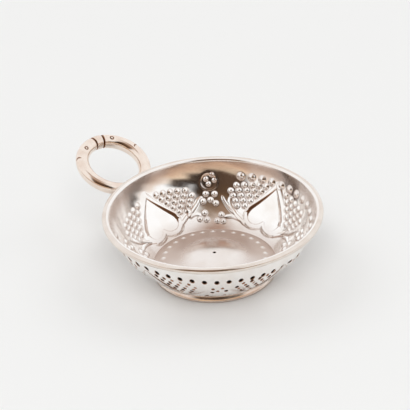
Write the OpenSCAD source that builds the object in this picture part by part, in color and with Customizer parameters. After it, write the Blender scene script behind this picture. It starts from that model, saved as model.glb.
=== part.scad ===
// Tastevin: a shallow wine-taster's cup with a serpent ring handle.
// Millimetres, +Z up. The origin lies on the cup's axis at table level, the handle points along -X.

/* [Cup] */
// Diameter over the rim wire
rim_d = 80; // [74:1:88]
// Height of the lip above the table
cup_h = 25; // [23:0.5:28]
// Thickness of the silver sheet
sheet = 1.0; // [0.8:0.1:1.2]
// Rise of the domed floor above its crease
dome_rise = 3.9; // [3:0.1:5]

/* [Rim wire] */
// Width of the wire, measured outwards from the lip
wire_w = 1.35; // [1:0.05:1.8]
// Height of the wire
wire_h = 2.0; // [1.6:0.1:2.4]

/* [Foot ring] */
// Outer diameter of the foot
foot_d = 45; // [42:1:48]
// Height of the foot at its outer face
foot_h = 2.4; // [1.8:0.1:3.2]
// Thickness of the foot, measured inwards
foot_w = 1.9; // [1.5:0.1:2.5]

/* [Repousse] */
// How far the hearts stand up from the sheet
relief = 0.7; // [0.5:0.1:0.9]
// Length of a heart from tip to lobes
heart_l = 16.8; // [15:0.2:17.4]
// Radius of a heart's lobes
lobe_r = 4.1; // [3.7:0.1:4.4]
// Width of the raised line round a heart
heart_line = 1.3; // [1:0.1:1.6]
// Distance of the hearts' tips below the lip, along the wall
heart_drop = 7.2; // [6.4:0.2:8]
// Radius of one grape
grape_r = 1.05; // [0.9:0.05:1.2]
// Rows of grapes in a bunch
grape_rows = 6; // [3:1:6]
// Radius of one bead of the garland over a heart
garland_r = 1.25; // [1:0.05:1.3]
// Beads in the circle round the dome
bead_n = 30; // [24:1:36]
// Radius of the circle of beads
bead_circle_r = 18.8; // [17.5:0.1:19.2]
// Radius of one bead
bead_r = 0.8; // [0.6:0.05:0.9]

/* [Handle] */
// Radius of the ring's middle line
ring_r = 11.9; // [11.2:0.1:13.2]
// Rise of the ring above the level, outwards
ring_tilt = 23; // [17:1:28]
// Depth of the ring's seat below the lip
seat_drop = 3.9; // [3.6:0.1:5.4]
// How far the collar is turned off the handle's middle
collar_turn = 12; // [0:1:24]
// Radius of a serpent's tail
tail_r = 2.2; // [1.8:0.1:2.4]
// Radius of a serpent's head
head_r = 2.5; // [2.4:0.05:2.8]
// Radius of the barrel collar
collar_r = 2.6; // [2.4:0.05:2.8]
// Length of the collar along the ring
collar_l = 3.5; // [2.8:0.1:4]

/* [Hidden] */
$fn = 48;
eps = 0.01;
round_fn = 180;

// Wall: a sphere about the cup's axis that passes through the foot and the lip
foot_r = foot_d / 2;
rim_r = rim_d / 2;
lip_r = rim_r - wire_w;
wall_z = (lip_r * lip_r - foot_r * foot_r + cup_h * cup_h - foot_h * foot_h) / (2 * (cup_h - foot_h));
wall_r = norm([foot_r, wall_z - foot_h]);
in_r = wall_r - sheet;

// Floor: a shallow sphere whose underside meets the wall at the foot
under_r = (foot_r * foot_r + dome_rise * dome_rise) / (2 * dome_rise);
dome_z = foot_h + dome_rise - under_r;
dome_r = under_r + sheet;

// Repousse: hearts a quarter turn apart, each with a bunch of grapes on either side and a garland above
quarters = [0, 90, 180, 270];
seam_turn = 45;
lip_dir = asin((cup_h - wall_z) / in_r);
heart_mid = heart_drop + heart_l / 2;
lobe_x = lobe_r - heart_l / 2;
lobe_y = lobe_r * 0.86;
tip_angle = atan2(lobe_y, heart_l - lobe_r) + asin(lobe_r / norm([lobe_y, heart_l - lobe_r]));
edge_overlap = 0.985;
heart_groove = heart_line + 0.7;
heart_depth = 4 * relief + sheet;
sunk = relief * 0.6;
bunch_x = 4.1;
bunch_drop = heart_drop + 2;
row_step = [1.02, 2.2];
grape_step = [3, 0.2];
garland_drop = heart_drop - 0.4;
garland_turn = 6.6;
garland_n = 8;
hollow_r = 0.85;
hollow_end_r = 0.3;
hollow_depth = 0.7;
bead_z = dome_z + sqrt(dome_r * dome_r - bead_circle_r * bead_circle_r);
bead_step = 360 / bead_n;

// Rim wire: a rounded outer face on a flat band
wire_round = wire_h * 0.62;

// Handle: the ring's middle line passes the wall at seat_drop below the lip, sunk a little into it
seat_dir = asin((cup_h - seat_drop - wall_z) / wall_r);
seat_sink = tail_r * 0.12;
ring_x = wall_r * cos(seat_dir) + tail_r - seat_sink + ring_r * cos(ring_tilt);
ring_z = cup_h - seat_drop + ring_r * sin(ring_tilt);
collar_half = asin(collar_l / 2 / ring_r);
collar_round = collar_r * 1.1;
nose_r = collar_r * 0.8;
nose_part = 0.06;
taper = 1.4;
ring_crowding = 1.3;
eye_part = 0.14;
eye_r = 0.6;
body_rings = 36;
body_sides = 20;

// Direction and radius of the place on the inside of the wall at a given depth below the lip
function wall_dir(drop) = lip_dir - drop / in_r * 180 / PI;
function wall_reach(drop) = in_r * cos(wall_dir(drop));

// Section through the cup, solid between the wall and the underside of the floor
module solid_section() {
    difference() {
        intersection() {
            translate([0, wall_z]) circle(r = wall_r, $fn = round_fn);
            square([rim_d, cup_h]);
        }
        translate([0, dome_z]) circle(r = under_r, $fn = round_fn);
    }
}

// Section through the room inside the cup
module room_section() {
    difference() {
        intersection() {
            translate([0, wall_z]) circle(r = in_r, $fn = round_fn);
            square([rim_d, cup_h + eps]);
        }
        translate([0, dome_z]) circle(r = dome_r, $fn = round_fn);
    }
}

// A layer of the wall between two radii, with its seam away from +X
module wall_layer(inner, outer) {
    rotate([0, 0, 180])
        rotate_extrude($fn = round_fn)
            intersection() {
                translate([0, wall_z])
                    difference() {
                        circle(r = outer, $fn = round_fn);
                        circle(r = inner, $fn = round_fn);
                    }
                square([rim_d, cup_h]);
            }
}

// Puts its children on the wall, X towards the lip and Z into the cup
module on_wall(turn, drop, arc_r) {
    rotate([0, 0, turn])
        translate([arc_r * cos(wall_dir(drop)), 0, wall_z + arc_r * sin(wall_dir(drop))])
            rotate([0, 270 - wall_dir(drop), 0])
                children();
}

// Heart with its tip along +X, drawn smaller all round by the inset
module heart_shape(inset) {
    lobe = lobe_r - inset;
    tip = heart_l / 2 - inset / sin(tip_angle);
    touch = edge_overlap * lobe * [sin(tip_angle), cos(tip_angle)];
    for (side = [0, 1])
        mirror([0, side]) {
            translate([lobe_x, lobe_y])
                circle(r = lobe);
            polygon([[tip, 0], [lobe_x + touch[0], lobe_y + touch[1]], [lobe_x, lobe_y], [lobe_x - inset, 0]]);
        }
}

// A flat shape on the wall, raised into the cup
module raised() {
    intersection() {
        wall_layer(in_r - relief, in_r + sheet / 2);
        on_wall(0, heart_mid, in_r)
            linear_extrude(height = heart_depth, center = true)
                children();
    }
}

// A heart inside the cup: a line round its edge, a groove, then a raised field
module raised_heart() {
    raised()
        difference() {
            heart_shape(0);
            heart_shape(heart_line);
        }
    raised()
        heart_shape(heart_groove);
}

// The hollow that a heart leaves on the outside
module sunk_heart() {
    difference() {
        on_wall(0, heart_mid, wall_r)
            linear_extrude(height = heart_depth, center = true)
                heart_shape(heart_line / 2);
        translate([0, 0, wall_z])
            sphere(r = wall_r - sunk);
    }
}

// One bead inside the cup
module bead_on_wall(turn, drop, radius) {
    on_wall(turn, drop, in_r)
        sphere(r = radius);
}

// The tapered hollow that a bead leaves on the outside
module hollow_on_wall(turn, drop, radius) {
    on_wall(turn, drop, wall_r)
        translate([0, 0, -hollow_depth])
            cylinder(
                h = 2 * hollow_depth,
                r1 = (2 * hollow_r - hollow_end_r) * radius,
                r2 = hollow_end_r * radius
            );
}

// Two bunches beside one heart, in rows of grapes that grow shorter downwards along the heart's edge
module bunches(hollow) {
    for (side = [-1, 1], row = [0 : grape_rows - 1], k = [0 : grape_rows - 1 - row]) {
        place = [bunch_x, bunch_drop] + row * row_step + k * grape_step;
        turn = side * place[0] / wall_reach(place[1]) * 180 / PI;
        if (hollow) hollow_on_wall(turn, place[1], grape_r);
        else bead_on_wall(turn, place[1], grape_r);
    }
}

// The row of large beads over one heart
module garland(hollow) {
    for (k = [0 : garland_n - 1]) {
        turn = (k - (garland_n - 1) / 2) * garland_turn;
        if (hollow) hollow_on_wall(turn, garland_drop, garland_r);
        else bead_on_wall(turn, garland_drop, garland_r);
    }
}

module bead_circle() {
    for (k = [0 : bead_n - 1])
        rotate([0, 0, (k + 0.25) * bead_step])
            translate([bead_circle_r, 0, bead_z])
                sphere(r = bead_r);
}

module bowl() {
    color("Silver")
        difference() {
            union() {
                rotate([0, 0, seam_turn])
                    rotate_extrude($fn = round_fn)
                        difference() {
                            solid_section();
                            room_section();
                        }
                for (turn = quarters)
                    rotate([0, 0, turn]) {
                        raised_heart();
                        bunches(false);
                        garland(false);
                    }
                bead_circle();
            }
            for (turn = quarters)
                rotate([0, 0, turn]) {
                    sunk_heart();
                    bunches(true);
                    garland(true);
                }
        }
}

// Section through the rim wire, reaching into the sheet
module wire_section() {
    intersection() {
        translate([lip_r - sheet, cup_h - wire_h])
            square([wire_w + sheet, wire_h]);
        union() {
            translate([rim_r - wire_round, cup_h - wire_h / 2])
                circle(r = wire_round);
            translate([lip_r - sheet, cup_h - wire_h])
                square([rim_r - wire_round - lip_r + sheet, wire_h]);
        }
    }
}

module rim_wire() {
    color("Gainsboro")
        rotate_extrude($fn = round_fn)
            difference() {
                wire_section();
                solid_section();
            }
}

module foot_ring() {
    color("Silver")
        rotate_extrude($fn = round_fn)
            difference() {
                translate([foot_r - foot_w, 0])
                    square([foot_w, foot_h + dome_rise]);
                solid_section();
                translate([0, wall_z])
                    circle(r = in_r, $fn = round_fn);
            }
}

// Puts its children in the ring's plane, X outwards along the handle
module on_ring() {
    translate([-ring_x, 0, ring_z])
        rotate([0, ring_tilt, 0])
            mirror([1, 0, 0])
                children();
}

// Thickness of a serpent, from snout (0) to tail (1)
function swell(part) = tail_r + (head_r - tail_r) * (1 + cos(180 * pow(part, taper))) / 2;
function snout(part) = part < nose_part ? (1 - nose_r / head_r) * pow(1 - part / nose_part, 2) : 0;
function girth(part) = swell(part) * (1 - snout(part));

// One serpent along the ring, from the collar to the seat on the wall
module serpent(side) {
    start = collar_turn + side * collar_half;
    sweep = side * 180 - start;
    parts = [for (k = [0 : body_rings]) pow(k / body_rings, ring_crowding)];
    points = [
        for (part = parts, j = [0 : body_sides - 1])
            let (turn = start + sweep * part, a = 360 * j / body_sides, reach = ring_r + girth(part) * cos(a))
                [reach * cos(turn), reach * sin(turn), girth(part) * sin(a)]
    ];
    skin = [
        for (k = [0 : body_rings - 1], j = [0 : body_sides - 1])
            let (a = k * body_sides + j, b = k * body_sides + (j + 1) % body_sides)
                each [[a, b, b + body_sides], [a, b + body_sides, a + body_sides]]
    ];
    ends = [
        [for (j = [0 : body_sides - 1]) body_sides - 1 - j],
        [for (j = [0 : body_sides - 1]) body_rings * body_sides + j]
    ];
    faces = concat(skin, ends);
    turned = [for (f = faces) [for (k = [len(f) - 1 : -1 : 0]) f[k]]];
    eye_turn = start + sweep * eye_part;
    color("RosyBrown")
        difference() {
            on_ring() {
                polyhedron(points, side > 0 ? faces : turned);
                for (face = [-1, 1])
                    translate([ring_r * cos(eye_turn), ring_r * sin(eye_turn), face * girth(eye_part)])
                        sphere(r = eye_r);
            }
            rotate_extrude($fn = round_fn) {
                solid_section();
                wire_section();
            }
        }
}

module left_serpent() {
    serpent(-1);
}

module right_serpent() {
    serpent(1);
}

module collar() {
    color("RosyBrown")
        on_ring()
            intersection() {
                rotate([0, 0, collar_turn - collar_half])
                    rotate_extrude(angle = 2 * collar_half, $fn = round_fn)
                        translate([ring_r, 0])
                            circle(r = collar_r);
                translate(ring_r * [cos(collar_turn), sin(collar_turn), 0])
                    sphere(r = collar_round);
            }
}

bowl();
rim_wire();
foot_ring();
left_serpent();
right_serpent();
collar();
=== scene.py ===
# Tastevin: a shallow silver wine-taster's cup with a ring handle of two facing serpents.
# Sizes are in millimetres in the cup's own frame, +Z up and the handle along -X, and go to Blender in metres.
import math

import bmesh
import bpy
import numpy as np
from mathutils import Matrix, Vector


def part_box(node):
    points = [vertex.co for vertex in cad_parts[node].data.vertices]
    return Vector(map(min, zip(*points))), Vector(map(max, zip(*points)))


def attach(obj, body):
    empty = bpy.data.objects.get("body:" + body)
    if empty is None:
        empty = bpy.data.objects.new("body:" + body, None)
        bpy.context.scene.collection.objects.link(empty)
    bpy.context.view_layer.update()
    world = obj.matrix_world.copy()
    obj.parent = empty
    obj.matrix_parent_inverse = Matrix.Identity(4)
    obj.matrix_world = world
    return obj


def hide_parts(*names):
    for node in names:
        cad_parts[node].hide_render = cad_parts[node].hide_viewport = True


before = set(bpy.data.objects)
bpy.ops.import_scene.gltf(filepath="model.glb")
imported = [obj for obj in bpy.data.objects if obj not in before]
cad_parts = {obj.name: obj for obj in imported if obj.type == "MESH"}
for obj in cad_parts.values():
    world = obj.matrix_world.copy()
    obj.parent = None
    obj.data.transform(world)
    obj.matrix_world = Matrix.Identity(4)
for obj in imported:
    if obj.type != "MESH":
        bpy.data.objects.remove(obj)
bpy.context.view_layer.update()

# Cup: one disc of sheet silver, raised on stakes to a round wall and pushed up in the middle to a low dome.
# Hearts, grapes and vine are punched up from the back over pitch, so each shows as a hollow on the outside.
# The wire, the foot and the ring are soldered to it.
MM = 0.001
full_turn = 2 * math.pi
bowl_low, bowl_high = (np.array(corner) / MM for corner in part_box("bowl"))
_, foot_high = (np.array(corner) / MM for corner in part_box("foot_ring"))
cup_h = bowl_high[2]
lip_r = bowl_high[0]
foot_r = foot_high[0]
foot_h = bowl_low[2]
sheet = 1.0
dome_rise = 3.9

wall_z = (lip_r**2 - foot_r**2 + cup_h**2 - foot_h**2) / (2 * (cup_h - foot_h))
wall_r = math.hypot(foot_r, wall_z - foot_h)
in_r = wall_r - sheet
lip_dir = math.asin((cup_h - wall_z) / in_r)
under_r = (foot_r**2 + dome_rise**2) / (2 * dome_rise)
dome_z = foot_h + dome_rise - under_r
dome_r = under_r + sheet
centre_gap = wall_z - dome_z
crease_z = dome_z + (centre_gap**2 + dome_r**2 - in_r**2) / (2 * centre_gap)
crease_r = math.sqrt(dome_r**2 - (crease_z - dome_z) ** 2)
wall_len = in_r * (lip_dir - math.asin((crease_z - wall_z) / in_r))

columns = 1100
turns = np.linspace(0, full_turn, columns, endpoint=False)


def wall_dir(drop):
    """Direction on the wall's sphere at a depth below the lip, measured along the inside of the sheet."""
    return lip_dir - drop / in_r


def turn_between(a, b):
    """The angle from b to a, between half a turn back and half a turn on."""
    return (a - b + math.pi) % full_turn - math.pi


class Chasing:
    """How far one face of the wall is pushed into the cup, and how dark it is, at each depth and turn."""

    def __init__(self, depths):
        self.depths = depths
        self.height = np.zeros((len(depths), columns))
        self.tarnish_and_shade = np.zeros((len(depths), columns))
        self.reach = in_r * np.cos(wall_dir(depths))

    def patch(self, turn, drop, half_w, above, below):
        """The grid round a place on the wall: its rows and columns, and millimetres right of and below it."""
        rows = np.flatnonzero((self.depths > drop - above) & (self.depths < drop + below))
        away = turn_between(turns, turn)
        cols = np.flatnonzero(np.abs(away) * self.reach.min() < half_w)
        right = -np.outer(self.reach[rows], away[cols])
        down = np.broadcast_to((self.depths[rows] - drop)[:, None], right.shape)
        return np.ix_(rows, cols), right, down

    def raise_to(self, where, height, tarnish_and_shade):
        """Adds a form to what is there already; where two meet, the higher and the darker one shows."""
        self.height[where] = np.maximum(self.height[where], height)
        self.tarnish_and_shade[where] = np.maximum(self.tarnish_and_shade[where], tarnish_and_shade)


grape_r = 1.2
garland_r = 1.5
small_r = 1.15
grape_rise = 0.5
grape_dirt = 0.2
grape_dirt_at, grape_dirt_w = 1.1, 0.15
hollow_share = 0.62
hollow_tall = 1.45
hollow_depth = 0.4
hollow_dark = 2.5
hollow_rubbed = 0.3
rubbed_shrink = 0.4


def grape(turn, drop, right, below, radius):
    """One grape: a low bead inside the cup, and outside a hollow gone black, now and then rubbed clean."""
    reach = 2 * radius
    place = turn - right / (in_r * math.cos(wall_dir(drop + below)))
    where, x, y = inside.patch(place, drop + below, reach, reach, reach)
    d = np.hypot(x, y) / radius
    dirt = grape_dirt * np.exp(-(((d - grape_dirt_at) / grape_dirt_w) ** 2))
    inside.raise_to(where, radius * grape_rise * np.clip(1 - d**2, 0, None), dirt)
    where, x, y = outside.patch(place, drop + below, reach, reach, reach)
    uneven = 1 + math.sin(37 * place + 5 * below)
    rubbed_out = hollow_rubbed * uneven if radius < garland_r else 0.0
    hollow_r = radius * hollow_share * (1 - rubbed_shrink * rubbed_out)
    pit = np.clip(1 - np.hypot(x, y / hollow_tall) ** 2 / hollow_r**2, 0, None)
    outside.raise_to(where, radius * hollow_depth * pit, np.clip(hollow_dark * pit, 0, 1 - rubbed_out))


def line_distance(x, y, points):
    """Distance from each place to a bent line, and how far along it the nearest place lies, from 0 to 1."""
    best = np.full(x.shape, 1e9)
    along = np.zeros(x.shape)
    steps = len(points) - 1
    for k in range(steps):
        (ax, ay), (bx, by) = points[k], points[k + 1]
        dx, dy = bx - ax, by - ay
        t = np.clip(((x - ax) * dx + (y - ay) * dy) / (dx * dx + dy * dy), 0, 1)
        d = np.hypot(x - ax - t * dx, y - ay - t * dy)
        along = np.where(d < best, (k + t) / steps, along)
        best = np.minimum(best, d)
    return best, along


def smooth_line(points, steps=5):
    """A curve through a few points, so that a stem bends instead of kinking."""
    p = np.array([points[0], *points, points[-1]], float)
    curve = []
    for a, b, c, d in zip(p, p[1:], p[2:], p[3:]):
        bend = 2 * a - 5 * b + 4 * c - d
        twist = 3 * b - a - 3 * c + d
        for t in np.linspace(0, 1, steps, endpoint=False):
            curve.append(0.5 * (2 * b + (c - a) * t + bend * t**2 + twist * t**3))
    return curve + [p[-1]]


back_share = 0.6
stem_fall = 0.7
# Darker along a stem's lower edge inside the cup, and along its hollow outside.
stem_dark = 0.4
stem_dark_w = 0.22


def stem(turn, drop, points, thick, thin, high):
    """A stem or a leaf of the vine: a soft ridge that thins out. Inside the cup it is darker along its lower
    edge, outside along its hollow.
    """
    line = smooth_line(points)
    for face, share in ((inside, 1.0), (outside, back_share)):
        where, x, y = face.patch(turn, drop, half_w=16, above=2, below=20)
        d, along = line_distance(x, y, line)
        half = thick + (thin - thick) * along
        ridge = np.clip(1 - (d / half) ** 2, 0, None)
        lower, _ = line_distance(x, y - half, line)
        dark = stem_dark * (np.exp(-((lower / stem_dark_w) ** 2)) if face is inside else ridge)
        face.raise_to(where, share * high * (1 - stem_fall * along**2) * ridge, dark * (1 - along))


heart_l = 16.8
lobe_r = 4.3
lobe_x = 0.86 * lobe_r
lobe_y = heart_l - lobe_r
heart_relief = 0.7
field_in = 0.6
field_edge = 0.35
cushion_rise = 0.25
cushion_in = 4
moulding_w = 2.5
moulding_fall = 1.8
groove_least = 0.2
groove_more = 1.25
groove_slope = 0.32
groove_full = 0.6
groove_end, groove_close = 0.84, 0.2
# Groove darkness: dirt on the one flank; on the other, dirt and a painted dark reflection.
dirt_and_reflection_flank, clean_flank = 0.76, 0.28
dirt_edge_in, dirt_edge_out = 0.12, 0.25
lobe_steps = 28
tip_angle = math.atan2(lobe_x, lobe_y) + math.asin(lobe_r / math.hypot(lobe_x, lobe_y))


def heart_outline():
    """Points round a heart, tip at the origin and lobes below, starting and ending in the notch."""
    notch = math.atan2(math.sqrt(lobe_r**2 - lobe_x**2), -lobe_x)
    side = [
        (lobe_x + lobe_r * math.cos(a), lobe_y + lobe_r * math.sin(a))
        for a in np.linspace(notch, -tip_angle, lobe_steps)
    ]
    return side + [(0.0, 0.0)] + [(-x, y) for x, y in reversed(side)]


def heart(turn, drop, dark_reflection_side):
    """A heart: a broad moulding, a groove inside it that widens from the tip to the lobes, and a smooth
    cushion. Dirt lies in the groove on both flanks; one flank is darker still, with a painted dark
    reflection."""
    outline = heart_outline()
    for face, share in ((inside, 1.0), (outside, back_share)):
        where, x, y = face.patch(turn, drop, half_w=16, above=5, below=21)
        d, _ = line_distance(x, y, outline)
        wedge = (np.abs(x) * math.cos(tip_angle) < y * math.sin(tip_angle)) & (y < lobe_y)
        lobes = np.hypot(np.abs(x) - lobe_x, y - lobe_y) < lobe_r
        out = field_in - np.where(wedge | lobes, d, -d)
        down = y / heart_l
        opening = np.clip(down / groove_full, 0, 1) * np.clip((groove_end - down) / groove_close, 0, 1)
        groove_w = groove_least + groove_more * opening
        groove_z = heart_relief - groove_slope * groove_w
        moulding = groove_z + groove_slope * np.clip(out, 0, groove_w)
        moulding *= np.sin(np.clip((moulding_w - out) / moulding_fall, 0, 1) * math.pi / 2)
        cushion = heart_relief + cushion_rise * np.clip(-out / cushion_in, 0, 1) - groove_z
        field = groove_z + cushion * np.sin(np.clip(-out / field_edge, 0, 1) * math.pi / 2)
        # Dirt on both flanks, with a painted dark reflection added on the one side.
        dirt = np.where(x * dark_reflection_side > 0, dirt_and_reflection_flank, clean_flank)
        dirt *= np.clip(out / dirt_edge_in + 0.5, 0, 1) * np.clip((groove_w - out) / dirt_edge_out, 0, 1)
        face.raise_to(where, share * np.where(out > 0, moulding, field), dirt)


frieze_drop = 7.2
# Each heart: its turn in degrees, how deep its tip lies, and the side of the flank with the painted dark
# reflection.
heart_places = ((0, 8.4, 1), (90, 6.8, -1), (180, 7.9, 1), (270, 7.2, -1))
bunch_x = 5.0
bunch_drop = 1.4
row_step = np.array([1.4, 2.2])
grape_step = np.array([2.9, 0.4])
bunch_counts = (5, 5, 4, 3, 2)
garland_n = 36
# Turns in degrees, and how far the garland hangs below the frieze's line there.
garland_level = ((-129, -0.6), (-90, -1.4), (-45, 1.2), (0, 2.2), (61, -1.8), (90, -1.4), (116, -1.0))
# The vine between two hearts: five grapes in the middle, three low on each side, then stems and leaves, each
# with its points, half its width at both ends, and its height. A place is so far right of the vine's middle
# and below the frieze's line.
vine_turns = [math.radians(a) for a in (45, 135, 225, 315)]
five_grapes = [(-1.9, 5.9), (1.4, 6.1), (-3.1, 8.6), (-0.2, 8.3), (1.7, 9.6)]
low_grapes = [(-2.6, 13.1), (-4.4, 15.2), (-1.9, 15.7), (3.6, 14.0), (2.0, 16.3), (4.2, 16.5)]
vine_lines = [
    ([(-12.3, 15.8), (-10.1, 13.6), (-7.7, 11.6), (-5.7, 9.3), (-5.0, 8.1), (-3.9, 7.4)], 1.5, 0.8, 0.5),
    ([(-9.2, 12.6), (-9.5, 9.3), (-7.9, 6.3)], 0.9, 0.6, 0.35),
    ([(-7.9, 13.6), (-6.4, 13.2), (-4.6, 13.5)], 0.9, 0.5, 0.4),
    ([(12.2, 15.9), (10.6, 14.6), (8.9, 13.1), (7.7, 10.8), (7.2, 8.6), (7.8, 7.2)], 1.5, 0.8, 0.5),
    ([(8.2, 12.6), (6.6, 11.4), (4.8, 8.6), (4.3, 7.1)], 0.9, 0.5, 0.35),
    ([(10.3, 15.0), (7.4, 14.5), (4.6, 14.8)], 1.0, 0.5, 0.4),
]
medallion_turn = math.radians(136)
medallion_drop = 1.3
medallion_r = 3.2
medallion_grapes = [(1.3, -2.6), (2.2, -0.4), (-1.0, -1.0), (-0.1, 0.9)]
medallion_grape_r = 0.8 * small_r
medallion_line_h, medallion_line_w = 0.12, 0.45
medallion_dirt = 0.3
medallion_dirt_at, medallion_dirt_w = 0.5, 0.3

lip_edge = 0.9
outer_edge = 1.6
wall_steps = 140
inside = Chasing(np.linspace(lip_edge, wall_len, wall_steps))
outside = Chasing(np.linspace(outer_edge, wall_len - 0.2, wall_steps))
for degrees, tip_drop, dark_reflection_side in heart_places:
    turn = math.radians(degrees)
    heart(turn, tip_drop, dark_reflection_side)
    for side in (-1, 1):
        for row, count in enumerate(bunch_counts):
            for k in range(count):
                x, y = np.array([bunch_x, bunch_drop]) + row * row_step + k * grape_step
                grape(turn, tip_drop, side * x, y, grape_r)
garland_turns, garland_drops = zip(*garland_level)
for degrees in np.linspace(garland_turns[0], garland_turns[-1], garland_n):
    grape(math.radians(degrees), frieze_drop, 0, np.interp(degrees, garland_turns, garland_drops), garland_r)
for turn in vine_turns:
    for x, y in five_grapes + low_grapes:
        grape(turn, frieze_drop, x, y, small_r)
    for points, thick, thin, high in vine_lines:
        stem(turn, frieze_drop, points, thick, thin, high)
for x, y in medallion_grapes:
    grape(medallion_turn, frieze_drop + medallion_drop, x, y, medallion_grape_r)
circle_line = [
    (medallion_r * math.cos(a), medallion_drop + medallion_r * math.sin(a))
    for a in np.linspace(0, full_turn, 40)
]
for face in (inside, outside):
    where, x, y = face.patch(medallion_turn, frieze_drop, half_w=6, above=5, below=6)
    d, _ = line_distance(x, y, circle_line)
    dirt = medallion_dirt * np.exp(-(((d - medallion_dirt_at) / medallion_dirt_w) ** 2))
    face.raise_to(where, medallion_line_h * np.exp(-((d / medallion_line_w) ** 2)), dirt)

# A thin brown film stays inside the cup under the lip, and the wall gets darker down to the crease.
# Faintly on the upper wall, from the handle round the -Y side, a brown is painted reflection of the room.
lip_film_most, lip_film_at, lip_film_w = 0.2, 2.5, 2.8
crease_dark_most, crease_dark_from, crease_dark_fade = 0.16, 20, 6
side_reflection_most, side_reflection_end, side_reflection_fade = 0.055, 14, 8
handle_turn = math.pi
past_handle, past_handle_fade = 0.1, 0.3
lip_film = lip_film_most * np.exp(-(((inside.depths - lip_film_at) / lip_film_w) ** 2))
crease_dark = crease_dark_most * np.clip((inside.depths - crease_dark_from) / crease_dark_fade, 0, 1)
upper_wall = np.clip((side_reflection_end - inside.depths) / side_reflection_fade, 0, 1)
from_handle = turn_between(turns, handle_turn)
# Painted reflection of the room on the upper wall, from the handle round the -Y side.
side_reflection = side_reflection_most * np.clip((from_handle - past_handle) / past_handle_fade, 0, 1)
film = (lip_film + crease_dark)[:, None] + np.outer(upper_wall, side_reflection)
inside.tarnish_and_shade = np.maximum(inside.tarnish_and_shade, film)

long_wave_h = 0.05
short_wave_h = 0.02


def hand_waves(turn, drop):
    """The slight unevenness that raising by hammer leaves in the wall; none at the lip and the crease."""
    fade = np.sin(np.clip(drop / wall_len, 0, 1) * math.pi) ** 0.5
    long_waves = np.sin(7 * turn + 0.33 * drop + 1.3) + 0.7 * np.sin(11 * turn - 0.21 * drop + 4.0)
    short_waves = np.sin(23 * turn + 0.9 * drop) * np.sin(0.7 * drop + 3 * np.sin(2 * turn))
    return fade * (long_wave_h * long_waves + short_wave_h * short_waves)


def ring_of(radius, z):
    """One row of points all round the axis, at a radius and a height that may change with the turn."""
    r = np.broadcast_to(radius, turns.shape)
    return np.stack([r * np.cos(turns), r * np.sin(turns), np.broadcast_to(z, turns.shape)], -1)


def wall_rows(face, sphere_r):
    """The rows of one face of the wall, each moved into the cup by its chasing."""
    rows = []
    for drop, height in zip(face.depths, face.height):
        radius = sphere_r - height - hand_waves(turns, drop)
        rows.append(ring_of(radius * math.cos(wall_dir(drop)), wall_z + radius * math.sin(wall_dir(drop))))
    return rows


bead_n = 30
bead_r = 0.85
bead_h = 0.42
bead_circle_r = 18.8
bead_band, band_gap = 1.3, 0.3
bead_shift = 0.25
bead_clean = 1.4
punch_r = 0.5
punch_depth = 0.4
floor_wave_h = 0.02
satin_from, satin_fade = 10, 4
# The floor has an even film. Outwards it gets darker, most of all towards far_turn, the side away from the
# camera: painted reflection of the back wall.
floor_film = 0.11
far_reflection_most = 0.23
far_reflection_from, far_reflection_fade = 8, 5
far_turn = math.radians(134.4)
# The rows lie closer at the punch mark and over the beads.
floor_radii = np.concatenate([
    np.linspace(0, 2 * punch_r, 7),
    np.linspace(1.8, bead_circle_r - bead_band - band_gap, 14),
    np.linspace(bead_circle_r - bead_band, bead_circle_r + bead_band, 20),
    np.linspace(bead_circle_r + bead_band + band_gap, crease_r - 0.05, 5),
])
floor, floor_tarnish_and_reflection, floor_satin = [], [], []
plain = np.zeros(columns)
far_reflection_share = 0.5 + 0.5 * np.cos(turns - far_turn)
# Millimetres along the circle to the nearest bead.
bead_at = ((turns * bead_n / full_turn - bead_shift + 0.5) % 1 - 0.5) * full_turn / bead_n * bead_circle_r
for r in floor_radii:
    d = np.hypot(bead_at, r - bead_circle_r) / bead_r
    bead = bead_h * np.clip(1 - d**2, 0, None)
    pit = punch_depth * max(0.0, 1 - (r / punch_r) ** 2)
    wave = floor_wave_h * math.sin(0.5 * r + 1) * np.sin(5 * turns + 0.3 * r) * r / crease_r
    floor.append(ring_of(r, dome_z + math.sqrt(dome_r**2 - r * r) + bead - pit + wave))
    # Painted reflection of the back wall, on top of the floor's even film.
    painted_reflection = far_reflection_most * np.clip((r - far_reflection_from) / far_reflection_fade, 0, 1) * far_reflection_share
    dull = floor_film + painted_reflection if r > punch_r else plain + 1.0
    floor_tarnish_and_reflection.append(dull * (1 - np.clip(bead_clean - d, 0, 1)))
    floor_satin.append(plain + np.clip((r - satin_from) / satin_fade, 0, 1))

lip_round = 0.75
lip_dull = 0.05
lip_start = wall_dir(lip_edge)
lip_in = in_r * math.cos(lip_start)
lip_in_z = wall_z + in_r * math.sin(lip_start)
lip_top = cup_h - 0.03
lip = [
    ring_of(lip_in + lip_round * (1 - math.cos(a)), lip_in_z + (lip_top - lip_in_z) * math.sin(a))
    for a in np.linspace(math.pi / 14, math.pi / 2, 7)
] + [ring_of(lip_r - 0.1, lip_top - 0.05), ring_of(lip_r, lip_top - 0.4)]
under = [
    ring_of(r, dome_z + math.sqrt(under_r**2 - r * r))
    for r in (foot_r - 0.05, foot_r - 1.0, foot_r - 4.0, foot_r * 0.6, foot_r * 0.3, 0.0)
]


def skin(name, rows, closed=False):
    """A piece whose skin runs through rows of points, each row a closed loop."""
    points = np.asarray(rows, float) * MM
    count, around = points.shape[:2]
    index = np.arange(count * around).reshape(count, around)
    if closed:
        index = np.vstack([index, index[:1]])
    beside = np.roll(index, -1, axis=1)
    quads = np.stack([index[:-1], beside[:-1], beside[1:], index[1:]], -1).reshape(-1, 4)
    mesh = bpy.data.meshes.new(name)
    mesh.from_pydata(points.reshape(-1, 3), [], quads.tolist())
    piece = bpy.data.objects.new(name, mesh)
    bpy.context.scene.collection.objects.link(piece)
    return piece


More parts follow.
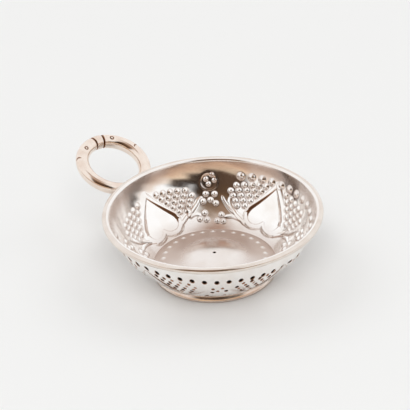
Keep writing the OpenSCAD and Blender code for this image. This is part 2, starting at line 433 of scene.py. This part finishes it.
def mark(piece, what, values):
    """Writes a value at each point for the silver to read: the satin, or the darkness, which is tarnish and
    in places painted shade and reflection.
    """
    layer = piece.data.attributes.new(what, "FLOAT", "POINT")
    layer.data.foreach_set("value", np.asarray(values, np.float32).ravel())


def close_skin(piece, sharp):
    """Welds points that meet, closes open ends, turns faces outwards and shades smoothly up to an angle."""
    work = bmesh.new()
    work.from_mesh(piece.data)
    bmesh.ops.remove_doubles(work, verts=work.verts, dist=1e-7)
    bmesh.ops.holes_fill(work, edges=[e for e in work.edges if e.is_boundary])
    bmesh.ops.recalc_face_normals(work, faces=work.faces)
    work.to_mesh(piece.data)
    work.free()
    piece.data.shade_smooth()
    piece.data.set_sharp_from_angle(angle=math.radians(sharp))


bowl_rows = floor + wall_rows(inside, in_r)[::-1] + lip + wall_rows(outside, wall_r) + under
bowl = skin("bowl_raised_sheet", bowl_rows)
outer_rows = len(lip) + len(outside.depths) + len(under)
lip_tarnish = [plain + lip_dull] * len(lip)
under_tarnish = [plain] * len(under)
wall_tarnish_and_shade = [*inside.tarnish_and_shade[::-1], *lip_tarnish, *outside.tarnish_and_shade]
mark(bowl, "tarnish_and_shade", [*floor_tarnish_and_reflection, *wall_tarnish_and_shade, *under_tarnish])
mark(bowl, "satin", [*floor_satin, *[plain] * (len(inside.depths) + outer_rows)])
close_skin(bowl, sharp=48)


def linear(code):
    """An sRGB hex colour as linear RGBA."""
    parts = [int(code[k : k + 2], 16) / 255 for k in (1, 3, 5)]
    return [c / 12.92 if c <= 0.04045 else ((c + 0.055) / 1.055) ** 2.4 for c in parts] + [1.0]


def add(tree, kind, settings=None, inputs=None, links=None):
    """Adds a shader node with its settings, input values and links."""
    node = tree.nodes.new(kind)
    for name, value in (settings or {}).items():
        setattr(node, name, value)
    for name, value in (inputs or {}).items():
        node.inputs[name].default_value = value
    for name, source in (links or {}).items():
        tree.links.new(source, node.inputs[name])
    return node


# Old silver, polished: a bright, slightly warm mirror. A thin brown film lies on it in patches, rubbing has
# left it satin in places, and brown to black sulphide stays where a cloth can't reach. The same darkening
# also carries painted shade and reflection where a piece marks it so.
def old_silver(name, bright, film, roughness, patch_mm):
    # Real polishing scratches are finer; these are as coarse as they need to be to show.
    rub_mm = 0.7
    scratch_mm = 0.05
    satin_more = 0.2
    tarnish_rough = 0.5
    material = bpy.data.materials.new(name)
    material.use_nodes = True
    tree = material.node_tree
    shader = tree.nodes["Principled BSDF"]
    place = add(tree, "ShaderNodeTexCoord").outputs["Object"]
    patches = add(
        tree, "ShaderNodeTexNoise",
        inputs={"Scale": 1 / (patch_mm * MM), "Detail": 3.0}, links={"Vector": place},
    )
    film_share = add(
        tree, "ShaderNodeMapRange",
        inputs={"From Min": 0.42, "From Max": 0.72, "To Min": 0.0, "To Max": 0.4},
        links={"Value": patches.outputs["Fac"]},
    )
    filmed = add(
        tree, "ShaderNodeMix", settings={"data_type": "RGBA"},
        inputs={6: linear(bright), 7: linear(film)}, links={0: film_share.outputs["Result"]},
    )
    # One darkening, from brown to near black, for tarnish and for painted shade and reflection alike.
    stain_and_shade = add(tree, "ShaderNodeAttribute", settings={"attribute_name": "tarnish_and_shade"}).outputs["Fac"]
    sulphide_and_shade = add(tree, "ShaderNodeValToRGB", links={"Fac": stain_and_shade})
    sulphide_and_shade.color_ramp.elements[0].color = linear("#FFFFFF")
    sulphide_and_shade.color_ramp.elements[1].color = linear("#120B07")
    sulphide_and_shade.color_ramp.elements.new(0.5).color = linear("#A27555")
    colour = add(
        tree, "ShaderNodeMix", settings={"data_type": "RGBA", "blend_type": "MULTIPLY"},
        inputs={0: 1.0}, links={6: filmed.outputs[2], 7: sulphide_and_shade.outputs["Color"]},
    )
    rubbing = add(
        tree, "ShaderNodeTexNoise",
        inputs={"Scale": 1 / (rub_mm * MM), "Detail": 2.0}, links={"Vector": place},
    )
    rubbed = add(
        tree, "ShaderNodeMapRange",
        inputs={"From Min": 0.3, "From Max": 0.7, "To Min": roughness * 0.8, "To Max": roughness * 1.25},
        links={"Value": rubbing.outputs["Fac"]},
    )
    satin = add(tree, "ShaderNodeAttribute", settings={"attribute_name": "satin"}).outputs["Fac"]
    worn = add(
        tree, "ShaderNodeMath", settings={"operation": "MULTIPLY_ADD"},
        inputs={1: satin_more}, links={0: satin, 2: rubbed.outputs["Result"]},
    )
    dull = add(tree, "ShaderNodeMix", inputs={3: tarnish_rough}, links={0: stain_and_shade, 2: worn.outputs[0]})
    grain = add(
        tree, "ShaderNodeBump",
        inputs={"Strength": 0.05, "Distance": scratch_mm * MM}, links={"Height": rubbing.outputs["Fac"]},
    )
    tree.links.new(colour.outputs[2], shader.inputs["Base Color"])
    tree.links.new(dull.outputs[0], shader.inputs["Roughness"])
    tree.links.new(grain.outputs["Normal"], shader.inputs["Normal"])
    shader.inputs["Metallic"].default_value = 1.0
    return material


# Raised sheet: the whitest of the silver, with broad, faint clouds of film.
sheet_silver = old_silver("silver sheet raised and polished", "#FFFDFB", "#EBDFD4", 0.11, 9.0)
bowl.data.materials.append(sheet_silver)
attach(bowl, "root")
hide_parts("bowl")

# Rim wire: a half-round silver wire, bent round the outside of the lip, soldered, and filed flush on top.
# The solder line under it is left a little rough and has pits that went dark; the patchy darkening along
# the wire's lower edge is partly these and partly painted shade where the wire meets the wall.
wire_low, wire_high = (np.array(corner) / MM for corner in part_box("rim_wire"))
rim_r = wire_high[0]
wire_h = cup_h - wire_low[2]
wire_w = rim_r - lip_r
wire_mid = cup_h - wire_h / 2
wire_round = 0.62 * wire_w
wire_loop = [(lip_r - 0.35, cup_h - 0.1), (lip_r - 0.1, cup_h - 0.02), (lip_r + 0.15, cup_h)] + [
    (rim_r - wire_round + wire_round * math.cos(a), wire_mid + wire_h / 2 * math.sin(a))
    for a in np.linspace(math.pi / 2, -math.pi / 2, 17)
] + [(lip_r - 0.2, cup_h - wire_h + 0.02), (lip_r - 0.7, cup_h - wire_h + 0.1)]
dent_depth = 0.03
dents = dent_depth * np.sin(9 * turns + 0.5) * np.sin(4 * turns + 2)
wire = skin("rim_wire_soldered", [ring_of(r - np.abs(dents), z) for r, z in wire_loop], closed=True)
# Patchy darkening along the lower edge: dark solder pits, and partly painted shade where wire meets wall.
solder = np.clip(np.sin(13 * turns + 1) + 0.8 * np.sin(31 * turns) + 0.6 * np.sin(5 * turns + 2) - 0.5, 0, 1)
lower_edge_solder_and_shade = [np.clip((wire_mid - z) / (wire_h / 2) - 0.5, 0, 0.4) * 2.5 for _, z in wire_loop]
mark(wire, "tarnish_and_shade", [share * solder for share in lower_edge_solder_and_shade])
close_skin(wire, sharp=55)
# Drawn wire: a shade greyer and softer than the sheet, as an edge gets that is handled.
wire_silver = old_silver("silver wire drawn and polished", "#EAE1D9", "#D6C3B5", 0.13, 6.0)
wire.data.materials.append(wire_silver)
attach(wire, "root")
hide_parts("rim_wire")

# Foot ring: a strip of silver bent to a ring, its lower edge flared, soldered under the crease of the floor.
# It is polished like the wall, with dirt in the joint above and painted contact shadow along the edge
# that it stands on.
foot_w = 1.9
foot_top = foot_high[2]
flare = 0.8
foot_loop = [(foot_r - 0.25, foot_h + 0.15), (foot_r - flare, foot_h - 0.1)] + [
    (foot_r - flare * (1 - t) ** 1.3, foot_h * (0.9 - 0.72 * t)) for t in np.linspace(0, 1, 8)
] + [
    (foot_r - 0.02, foot_h * 0.1),
    (foot_r - 0.15, 0.08),
    (foot_r - 0.4, 0.0),
    (foot_r - foot_w + 0.4, 0.0),
    (foot_r - foot_w + 0.1, 0.12),
    (foot_r - foot_w, 0.45),
    (foot_r - foot_w, foot_top),
]
foot = skin("foot_ring_soldered", [ring_of(r, z) for r, z in foot_loop], closed=True)
# How dark each point of the loop is, from the joint down the outside, under the edge and up the inside:
# dirt in the joint, fading down the outside, and painted shade from the lower edge, under it and up the
# inside.
joint_dirt_and_edge_shade = [0.9, 0.6, 0.35, 0.15] + [0.06] * 6 + [0.3, 0.5] + [0.6] * 3 + [0.3, 0.3]
mark(foot, "tarnish_and_shade", [share + plain for share in joint_dirt_and_edge_shade])
close_skin(foot, sharp=55)
# Strip: polished, with more brown film than the wall, as a cloth seldom gets under the cup.
foot_silver = old_silver("silver strip polished, with a brown film", "#F0E6DD", "#CDB5A3", 0.15, 4.0)
foot.data.materials.append(foot_silver)
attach(foot, "root")
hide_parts("foot_ring")

# Serpents: two cast silver halves of the finger ring, each a round body with a blunt head and a punched ring
# for an eye. The tails are soldered to the cup's wall, and the snouts face each other at the collar.
ring_r = 11.9
ring_tilt = math.radians(23)
seat_drop = 3.9
tail_r = 2.2
tail_seat = 0.88
head_r = 2.5
collar_l = 3.5
collar_turn = math.radians(12)
seat_z = cup_h - seat_drop
seat_x = math.sqrt(wall_r**2 - (wall_z - seat_z) ** 2) + tail_r * tail_seat
ring_centre = np.array([-seat_x - ring_r * math.cos(ring_tilt), 0, seat_z + ring_r * math.sin(ring_tilt)])
ring_out = np.array([-math.cos(ring_tilt), 0, math.sin(ring_tilt)])
ring_side = np.array([0.0, 1.0, 0.0])
ring_up = np.array([math.sin(ring_tilt), 0, math.cos(ring_tilt)])
collar_half = math.asin(collar_l / 2 / ring_r)
snout_l = 0.7
snout_in = 0.4
groove_depth = 0.22
head_taper = 1.4
body_rings = 230
head_crowding = 1.25
body_sides = 84
round_body = np.linspace(0, full_turn, body_sides, endpoint=False)
eye_r = 0.62
eye_turn = math.radians(97)
eye_line_w = 0.17
cut_w = 0.2
cut_slant = 0.9
cut_full, cut_fade = 1.6, 2.6
joint_dirt = 0.95


def on_ring(turn, radius):
    """A loop round the ring's middle line, at a turn from the handle's outward way, with a body radius."""
    outward = ring_out * math.cos(turn) + ring_side * math.sin(turn)
    reach = ring_r + radius * np.cos(round_body)
    return ring_centre + np.outer(reach, outward) + np.outer(radius * np.sin(round_body), ring_up)


def serpent(name, side, eye_l, head_l, cut_turn):
    """One serpent; its eye and the cut behind its head lie at their own distances from the snout."""
    start = collar_turn + side * collar_half
    sweep = side * math.pi - start
    length = abs(sweep) * ring_r
    rows, dark = [], []
    for part in np.linspace(0, 1, body_rings) ** head_crowding:
        along = part * length
        thick = tail_r + (head_r - tail_r) * (1 + math.cos(math.pi * part**head_taper)) / 2
        blunt = max(0.0, 1 - along / snout_l)
        thick -= snout_in * blunt**2
        groove = np.zeros(body_sides)
        for face in (-1, 1):
            across = turn_between(round_body, face * eye_turn) * thick
            d = np.hypot(across, along - eye_l)
            groove = np.maximum(groove, np.exp(-(((d - eye_r) / eye_line_w) ** 2)))
            cheek = np.abs(turn_between(round_body, face * math.radians(cut_turn)))
            cut = np.exp(-(((along - head_l - cut_slant * cheek) / cut_w) ** 2))
            groove = np.maximum(groove, cut * np.clip(cut_full - cut_fade * cheek, 0, 1))
        rows.append(on_ring(start + sweep * part, thick - groove_depth * groove))
        dark.append(np.maximum(groove, joint_dirt * blunt**0.5))
    piece = skin(name, rows)
    mark(piece, "tarnish_and_shade", dark)
    close_skin(piece, sharp=50)
    return piece


# Cast silver: rosier than the sheet from the copper in it, and a little less sharp a mirror.
cast_silver = old_silver("silver cast, worn to a rosy tone", "#F3E6DB", "#D9BBA6", 0.13, 5.0)
for name, node, side, eye_l, head_l, cut_turn in (
    ("left_serpent_cast", "left_serpent", -1, 6.0, 11.0, 38),
    ("right_serpent_cast", "right_serpent", 1, 3.6, 12.6, 72),
):
    piece = serpent(name, side, eye_l, head_l, cut_turn)
    piece.data.materials.append(cast_silver)
    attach(piece, "root")
    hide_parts(node)

# Collar: a short barrel of the same cast silver between the two snouts, where the ring was closed. It is
# soldered at both ends, and the joints have gone dark.
collar_r = 2.6
collar_swell = 0.12
collar_bevel = 0.3
bevel_share = 0.2
collar_rows, collar_dark = [], []
for part in np.linspace(-1, 1, 25):
    end = max(0.0, abs(part) - (1 - bevel_share)) / bevel_share
    radius = collar_r - collar_swell * part**2 - collar_bevel * end**2
    collar_rows.append(on_ring(collar_turn + part * collar_half, radius))
    collar_dark.append(np.full(body_sides, joint_dirt * end**1.5))
collar = skin("collar_barrel", collar_rows)
mark(collar, "tarnish_and_shade", collar_dark)
close_skin(collar, sharp=50)
collar.data.materials.append(cast_silver)
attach(collar, "root")
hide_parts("collar")

# Table: a wide sheet of white card, laid flat, on which the cup stands by its foot ring. From here on sizes
# are in metres.
card_half = 6.0
corners = [(card_half * x, card_half * y, 0) for x, y in ((-1, -1), (1, -1), (1, 1), (-1, 1))]
card_mesh = bpy.data.meshes.new("table_card")
card_mesh.from_pydata(corners, [], [(0, 1, 2, 3)])
card = bpy.data.objects.new("table_card", card_mesh)
bpy.context.scene.collection.objects.link(card)
# Matt white card: no gloss and no grain, so that only the cup's own soft shadow shows on it.
card_paper = bpy.data.materials.new("card, matt white")
card_paper.use_nodes = True
paper = card_paper.node_tree.nodes["Principled BSDF"]
paper.inputs["Base Color"].default_value = linear("#F4F4F3")
paper.inputs["Roughness"].default_value = 0.95
card_mesh.materials.append(card_paper)

# Light: a white tent all round, which the camera sees in full and the table gets about half of. Three wide,
# soft lamps, a strong one in front and a weaker one on each side, light the table and nothing else.
tent_on_table = 0.55
world = bpy.data.worlds.new("light tent")
bpy.context.scene.world = world
world.use_nodes = True
sky = world.node_tree
path = add(sky, "ShaderNodeLightPath")
seen = add(
    sky, "ShaderNodeMath", settings={"operation": "MAXIMUM"},
    links={0: path.outputs["Is Camera Ray"], 1: path.outputs["Is Glossy Ray"]},
)
seen_all = add(
    sky, "ShaderNodeMath", settings={"operation": "MAXIMUM"},
    links={0: seen.outputs[0], 1: path.outputs["Is Transmission Ray"]},
)
tent_share = add(
    sky, "ShaderNodeMapRange",
    inputs={"To Min": tent_on_table, "To Max": 1.0}, links={"Value": seen_all.outputs[0]},
)
sky.nodes["Background"].inputs["Color"].default_value = linear("#FFFFFF")
sky.links.new(tent_share.outputs["Result"], sky.nodes["Background"].inputs["Strength"])


def direction(turn, rise):
    """The direction at a turn about the cup's axis, counted from -Y, and a rise above the table."""
    return Vector((math.sin(turn) * math.cos(rise), -math.cos(turn) * math.cos(rise), math.sin(rise)))


view_turn = math.radians(44.4)
lamp_rise = math.radians(50)
lamp_distance = 4.0
lamp_size = 2.4
for name, away, energy in (("front lamp", 0, 60.0), ("left lamp", -112, 19.0), ("right lamp", 112, 19.0)):
    lamp_data = bpy.data.lights.new(name, "AREA")
    lamp_data.size = lamp_size
    lamp_data.energy = energy
    lamp = bpy.data.objects.new(name, lamp_data)
    lamp_way = direction(view_turn + math.radians(away), lamp_rise)
    lamp.location = lamp_way * lamp_distance
    lamp.rotation_euler = lamp_way.to_track_quat("Z", "Y").to_euler()
    lamp.visible_glossy = False
    bpy.context.scene.collection.objects.link(lamp)

# Room: what the silver mirrors in front of the tent, and nothing else sees. It is dim and brown on the
# camera's side, dark right round the camera and warmer on its left, paler at the sides and white behind the
# cup. Each step is a colour and its rise above the table in degrees.
room_r = 2.0
room_steps = (
    ("#3F2C21", 0), ("#4A3527", 4.5), ("#F0CAAB", 7), ("#FFE8CD", 14),
    ("#33271F", 17), ("#33271F", 31), ("#42301F", 38), ("#77604F", 50),
    ("#98826F", 62), ("#DCCEC4", 70), ("#AE9080", 77), ("#9C7D6A", 86),
)
side_steps = (
    ("#9A806C", 0), ("#AF9480", 3.5), ("#DCC5B3", 6), ("#EFE0D3", 12),
    ("#FFFFFF", 17), ("#FFFFFF", 66), ("#BBA08F", 77), ("#9C7D6A", 86),
)
left_warmth = np.array([0.06, 0.034, 0.02])
# Turns from the camera, right of it positive: where the brown side ends, further right low down than high up,
# where the white behind begins, and where it gets warmer.
left_edge = -48
right_edges, edge_rises = (56, 30), (22, 27)
edge_blend = 12
behind_from, behind_blend = 70, 30
warm_from, warm_blend = 2, 16


def blend(steps, rise):
    """The colour at a rise above the table, between the two nearest steps."""
    colours = np.array([linear(code)[:3] for code, _ in steps])
    rises = [at for _, at in steps]
    return np.array([np.interp(rise, rises, colours[:, k]) for k in range(3)])


room_turns = np.arange(-180, 181, 4)
room_rises = np.concatenate([np.arange(0, 40, 1.0), np.arange(40, 87, 2.0)])
room_points, room_colours = [], []
for away in room_turns:
    for rise in room_rises:
        room_points.append(room_r * direction(view_turn + math.radians(away), math.radians(rise)))
        right_edge = np.interp(rise, edge_rises, right_edges)
        within = min((right_edge - away) / edge_blend, (away - left_edge) / edge_blend)
        facing = np.clip(within, 0, 1)
        behind = np.clip((abs(away) - behind_from) / behind_blend, 0, 1)
        warm = np.clip((warm_from - away) / warm_blend, 0, 1) * left_warmth
        front_colour = np.minimum(blend(room_steps, rise) + warm, 1)
        colour = facing * front_colour + (1 - facing) * blend(side_steps, rise)
        room_colours.append([*(behind + (1 - behind) * colour), 1.0])
room_rows = len(room_rises)
room_mesh = bpy.data.meshes.new("room_side")
room_mesh.from_pydata(room_points, [], [
    (i * room_rows + j, (i + 1) * room_rows + j, (i + 1) * room_rows + j + 1, i * room_rows + j + 1)
    for i in range(len(room_turns) - 1) for j in range(room_rows - 1)
])
tint = room_mesh.attributes.new("tint", "FLOAT_COLOR", "POINT")
tint.data.foreach_set("color", np.asarray(room_colours, np.float32).ravel())
room = bpy.data.objects.new("room_side", room_mesh)
bpy.context.scene.collection.objects.link(room)
# Dim room: it glows in the tint of each place, without a shadow or a gloss of its own.
room_dim = bpy.data.materials.new("room, dim and brown")
room_dim.use_nodes = True
room_dim.node_tree.nodes.clear()
room_tint = add(room_dim.node_tree, "ShaderNodeAttribute", settings={"attribute_name": "tint"})
glow = add(room_dim.node_tree, "ShaderNodeEmission", links={"Color": room_tint.outputs["Color"]})
add(room_dim.node_tree, "ShaderNodeOutputMaterial", links={"Surface": glow.outputs["Emission"]})
room_mesh.materials.append(room_dim)
room.visible_camera = False
room.visible_diffuse = False
room.visible_transmission = False
room.visible_shadow = False

# Camera: a long lens at the photograph's height and side, held a little tilted. It is aimed so that the cup
# lies off_right pixels right of the picture's middle and off_down pixels below it.
view_rise = math.radians(31.8)
view_roll = math.radians(-2.7)
view_distance = 0.9
view_point = Vector((0, 0, 0.012))
pixels_per_metre = 2758.0
image_side = 410
off_right, off_down = 8.9, 36.4
camera_data = bpy.data.cameras.new("camera")
camera_data.sensor_width = 36.0
camera_data.lens = pixels_per_metre * view_distance / image_side * camera_data.sensor_width
camera = bpy.data.objects.new("camera", camera_data)
bpy.context.scene.collection.objects.link(camera)
back = direction(view_turn, view_rise)
level = Vector((math.cos(view_turn), math.sin(view_turn), 0))
right = level * math.cos(view_roll) + back.cross(level) * math.sin(view_roll)
up = back.cross(right)
stand = view_point + back * view_distance
aim = view_point - right * (off_right / pixels_per_metre) + up * (off_down / pixels_per_metre)
look = (stand - aim).normalized()
right = up.cross(look).normalized()
turned = Matrix((right, look.cross(right), look)).transposed().to_4x4()
camera.matrix_world = Matrix.Translation(stand) @ turned
bpy.context.scene.camera = camera
bpy.context.scene.view_settings.view_transform = "Standard"
